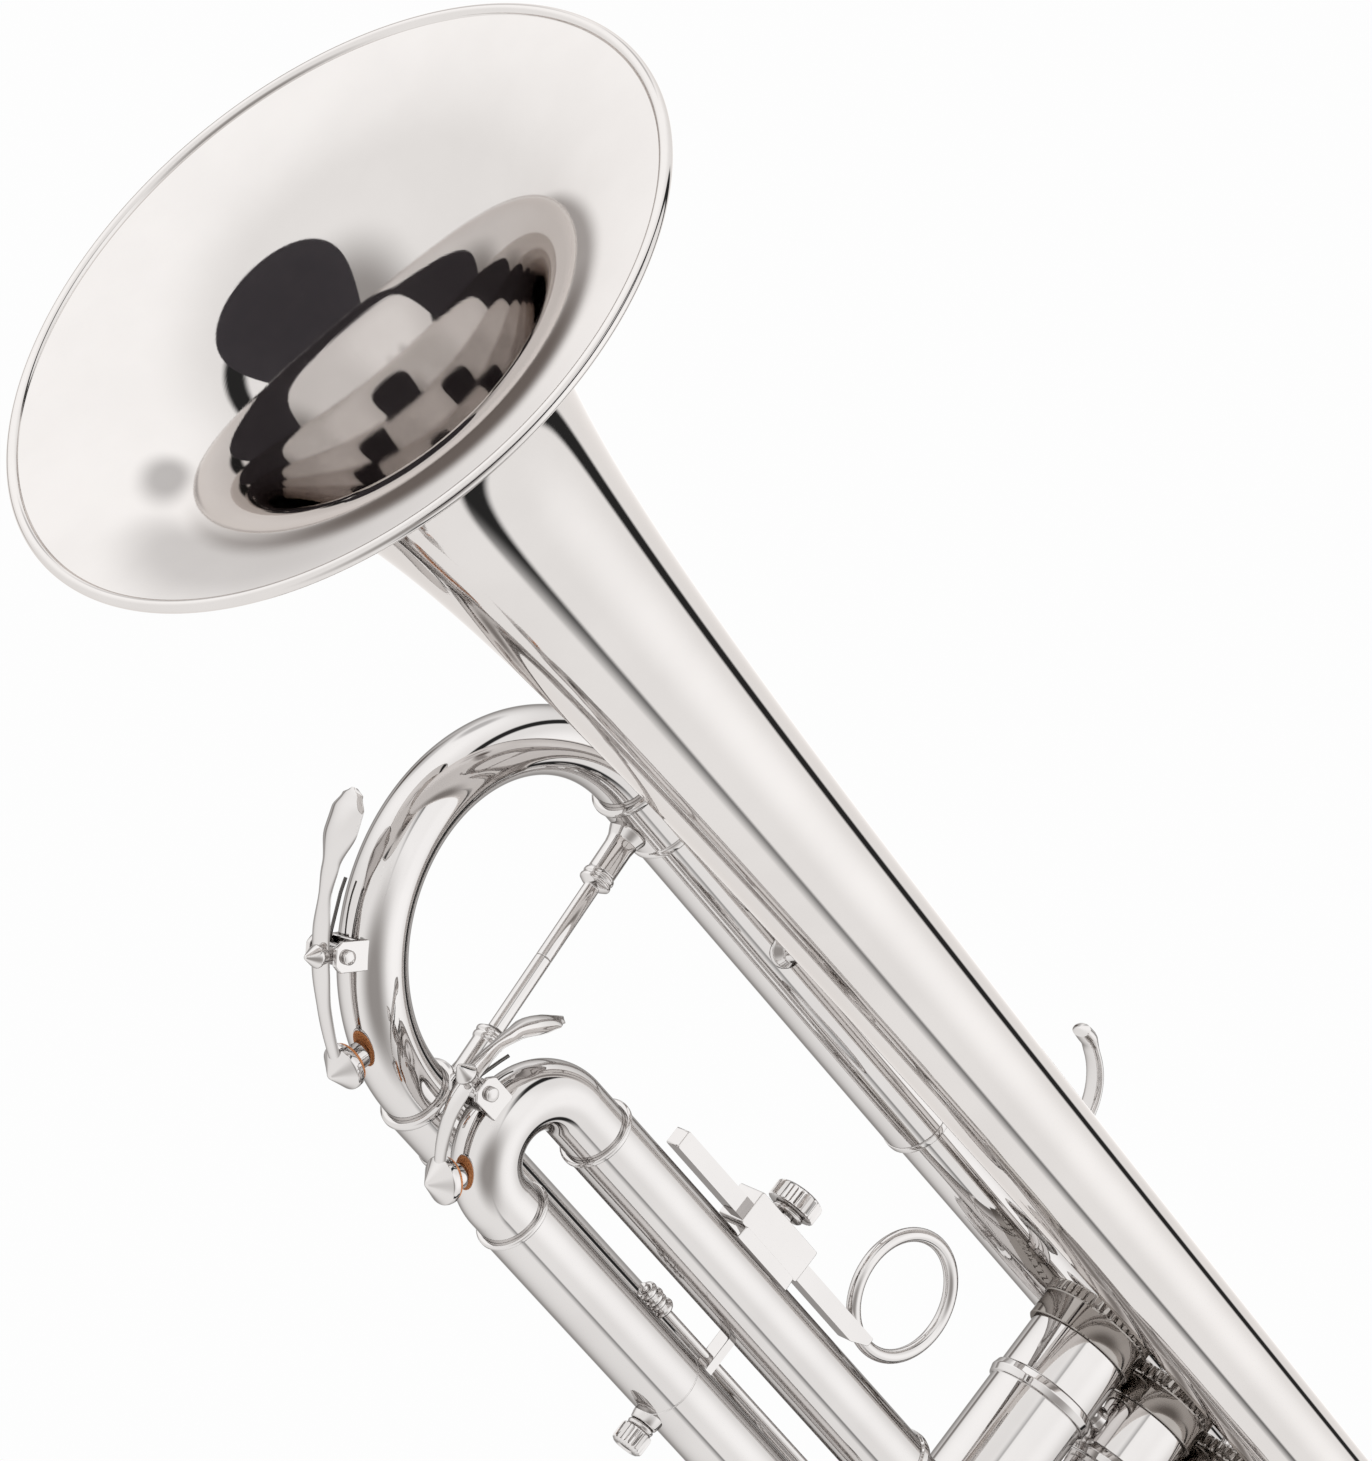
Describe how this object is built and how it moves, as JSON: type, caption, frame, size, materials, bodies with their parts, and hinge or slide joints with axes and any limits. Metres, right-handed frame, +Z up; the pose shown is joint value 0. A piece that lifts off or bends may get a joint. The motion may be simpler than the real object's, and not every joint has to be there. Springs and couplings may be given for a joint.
{
  "type": "trumpet",
  "caption": "Silver-plated piston-valve trumpet with sliding tuning crooks, water keys, finger ring on a rail and sprung valves.",
  "frame": {"origin": "centre of the bell rim on the bell axis", "axes": "+X along the bell axis from the rim towards the player, +Y towards the leadpipe (player's right), +Z up towards the finger buttons"},
  "size_m": [0.4844, 0.131, 0.1605],
  "materials": {
    "silver_plate": "mirror silver plate over brass",
    "nickel_silver": "polished nickel silver inner tube",
    "monel": "honed nickel alloy piston",
    "spring_steel": "drawn spring wire",
    "cork": "natural orange-brown cork",
    "nylon": "moulded nylon",
    "felt": "dense white wool felt"
  },
  "bodies": {
    "instrument": {"bell": "silver_plate", "bell_bow": "silver_plate", "bell_ferrules": "silver_plate", "bell_tail": "silver_plate", "leadpipe": "silver_plate", "receiver": "silver_plate", "main_outer_upper": "silver_plate", "main_outer_lower": "silver_plate", "casing_1": "silver_plate", "casing_2": "silver_plate", "casing_3": "silver_plate", "knuckles": "silver_plate", "top_caps": "silver_plate", "bottom_caps": "silver_plate", "cap_felts": "felt", "valve_guides": "nylon", "third_inner_tubes": "nickel_silver", "third_stop_rod": "silver_plate", "third_stop_nuts": "silver_plate", "first_outer_tubes": "silver_plate", "second_outer_tubes": "silver_plate", "bell_braces": "silver_plate", "pinky_hook": "silver_plate"},
    "main_slide": {"main_inner_tubes": "nickel_silver", "main_bow": "silver_plate", "main_ferrules": "silver_plate", "main_brace": "silver_plate", "main_key_saddle": "silver_plate", "main_key_screw": "silver_plate", "main_key_spring": "spring_steel"},
    "main_water_key": {"main_key_lever": "silver_plate", "main_key_cork": "cork"},
    "third_slide": {"third_bow": "silver_plate", "third_outer_tubes": "silver_plate", "third_brace": "silver_plate", "rail_holder": "silver_plate", "lyre_boss": "silver_plate", "third_key_saddle": "silver_plate", "third_key_screw": "silver_plate", "third_key_spring": "spring_steel"},
    "third_water_key": {"third_key_lever": "silver_plate", "third_key_cork": "cork"},
    "finger_ring": {"ring_rail": "silver_plate"},
    "rail_thumbscrew": {"rail_screw": "silver_plate"},
    "lyre_thumbscrew": {"lyre_screw": "silver_plate"},
    "first_slide_body": {"first_slide": "silver_plate", "thumb_saddle": "silver_plate"},
    "second_slide_body": {"second_slide": "silver_plate", "second_knob": "silver_plate"},
    "valve_1": {"piston_1": "monel", "stem_1": "silver_plate", "spring_1": "spring_steel"},
    "valve_2": {"piston_2": "monel", "stem_2": "silver_plate", "spring_2": "spring_steel"},
    "valve_3": {"piston_3": "monel", "stem_3": "silver_plate", "spring_3": "spring_steel"}
  },
  "joints": [
    {"name": "main_slide_pull", "type": "slide", "parent": "instrument", "child": "main_slide", "axis": [-1, 0, 0], "range_m": [0, 0.06]},
    {"name": "main_key_open", "type": "hinge", "parent": "main_slide", "child": "main_water_key", "pos_m": [0.10533, 0.03107, -0.06342], "axis": [0, 0.9949, -0.1013], "range_deg": [0, 16]},
    {"name": "third_slide_pull", "type": "slide", "parent": "instrument", "child": "third_slide", "axis": [-1, 0, 0], "range_m": [0, 0.0145]},
    {"name": "third_key_open", "type": "hinge", "parent": "third_slide", "child": "third_water_key", "pos_m": [0.12865, 0.008, -0.067], "axis": [0, 1, 0], "range_deg": [0, 16]},
    {"name": "ring_adjust", "type": "slide", "parent": "third_slide", "child": "finger_ring", "axis": [1, 0, 0], "range_m": [-0.014, 0.018]},
    {"name": "rail_screw_turn", "type": "hinge", "parent": "third_slide", "child": "rail_thumbscrew", "pos_m": [0.201, 0.008, -0.04], "axis": [0, 0, 1], "continuous": true},
    {"name": "lyre_screw_turn", "type": "hinge", "parent": "third_slide", "child": "lyre_thumbscrew", "pos_m": [0.204, 0.008, -0.085], "axis": [0, 0, 1], "continuous": true},
    {"name": "first_slide_pull", "type": "slide", "parent": "instrument", "child": "first_slide_body", "axis": [1, 0, 0], "range_m": [0, 0.018]},
    {"name": "second_slide_pull", "type": "slide", "parent": "instrument", "child": "second_slide_body", "axis": [0, 1, 0], "range_m": [0, 0.008]},
    {"name": "valve_1_press", "type": "slide", "parent": "instrument", "child": "valve_1", "axis": [0, 0, -1], "range_m": [0, 0.014], "deforming": ["spring_1"]},
    {"name": "valve_2_press", "type": "slide", "parent": "instrument", "child": "valve_2", "axis": [0, 0, -1], "range_m": [0, 0.014], "deforming": ["spring_2"]},
    {"name": "valve_3_press", "type": "slide", "parent": "instrument", "child": "valve_3", "axis": [0, 0, -1], "range_m": [0, 0.014], "deforming": ["spring_3"]}
  ]
}
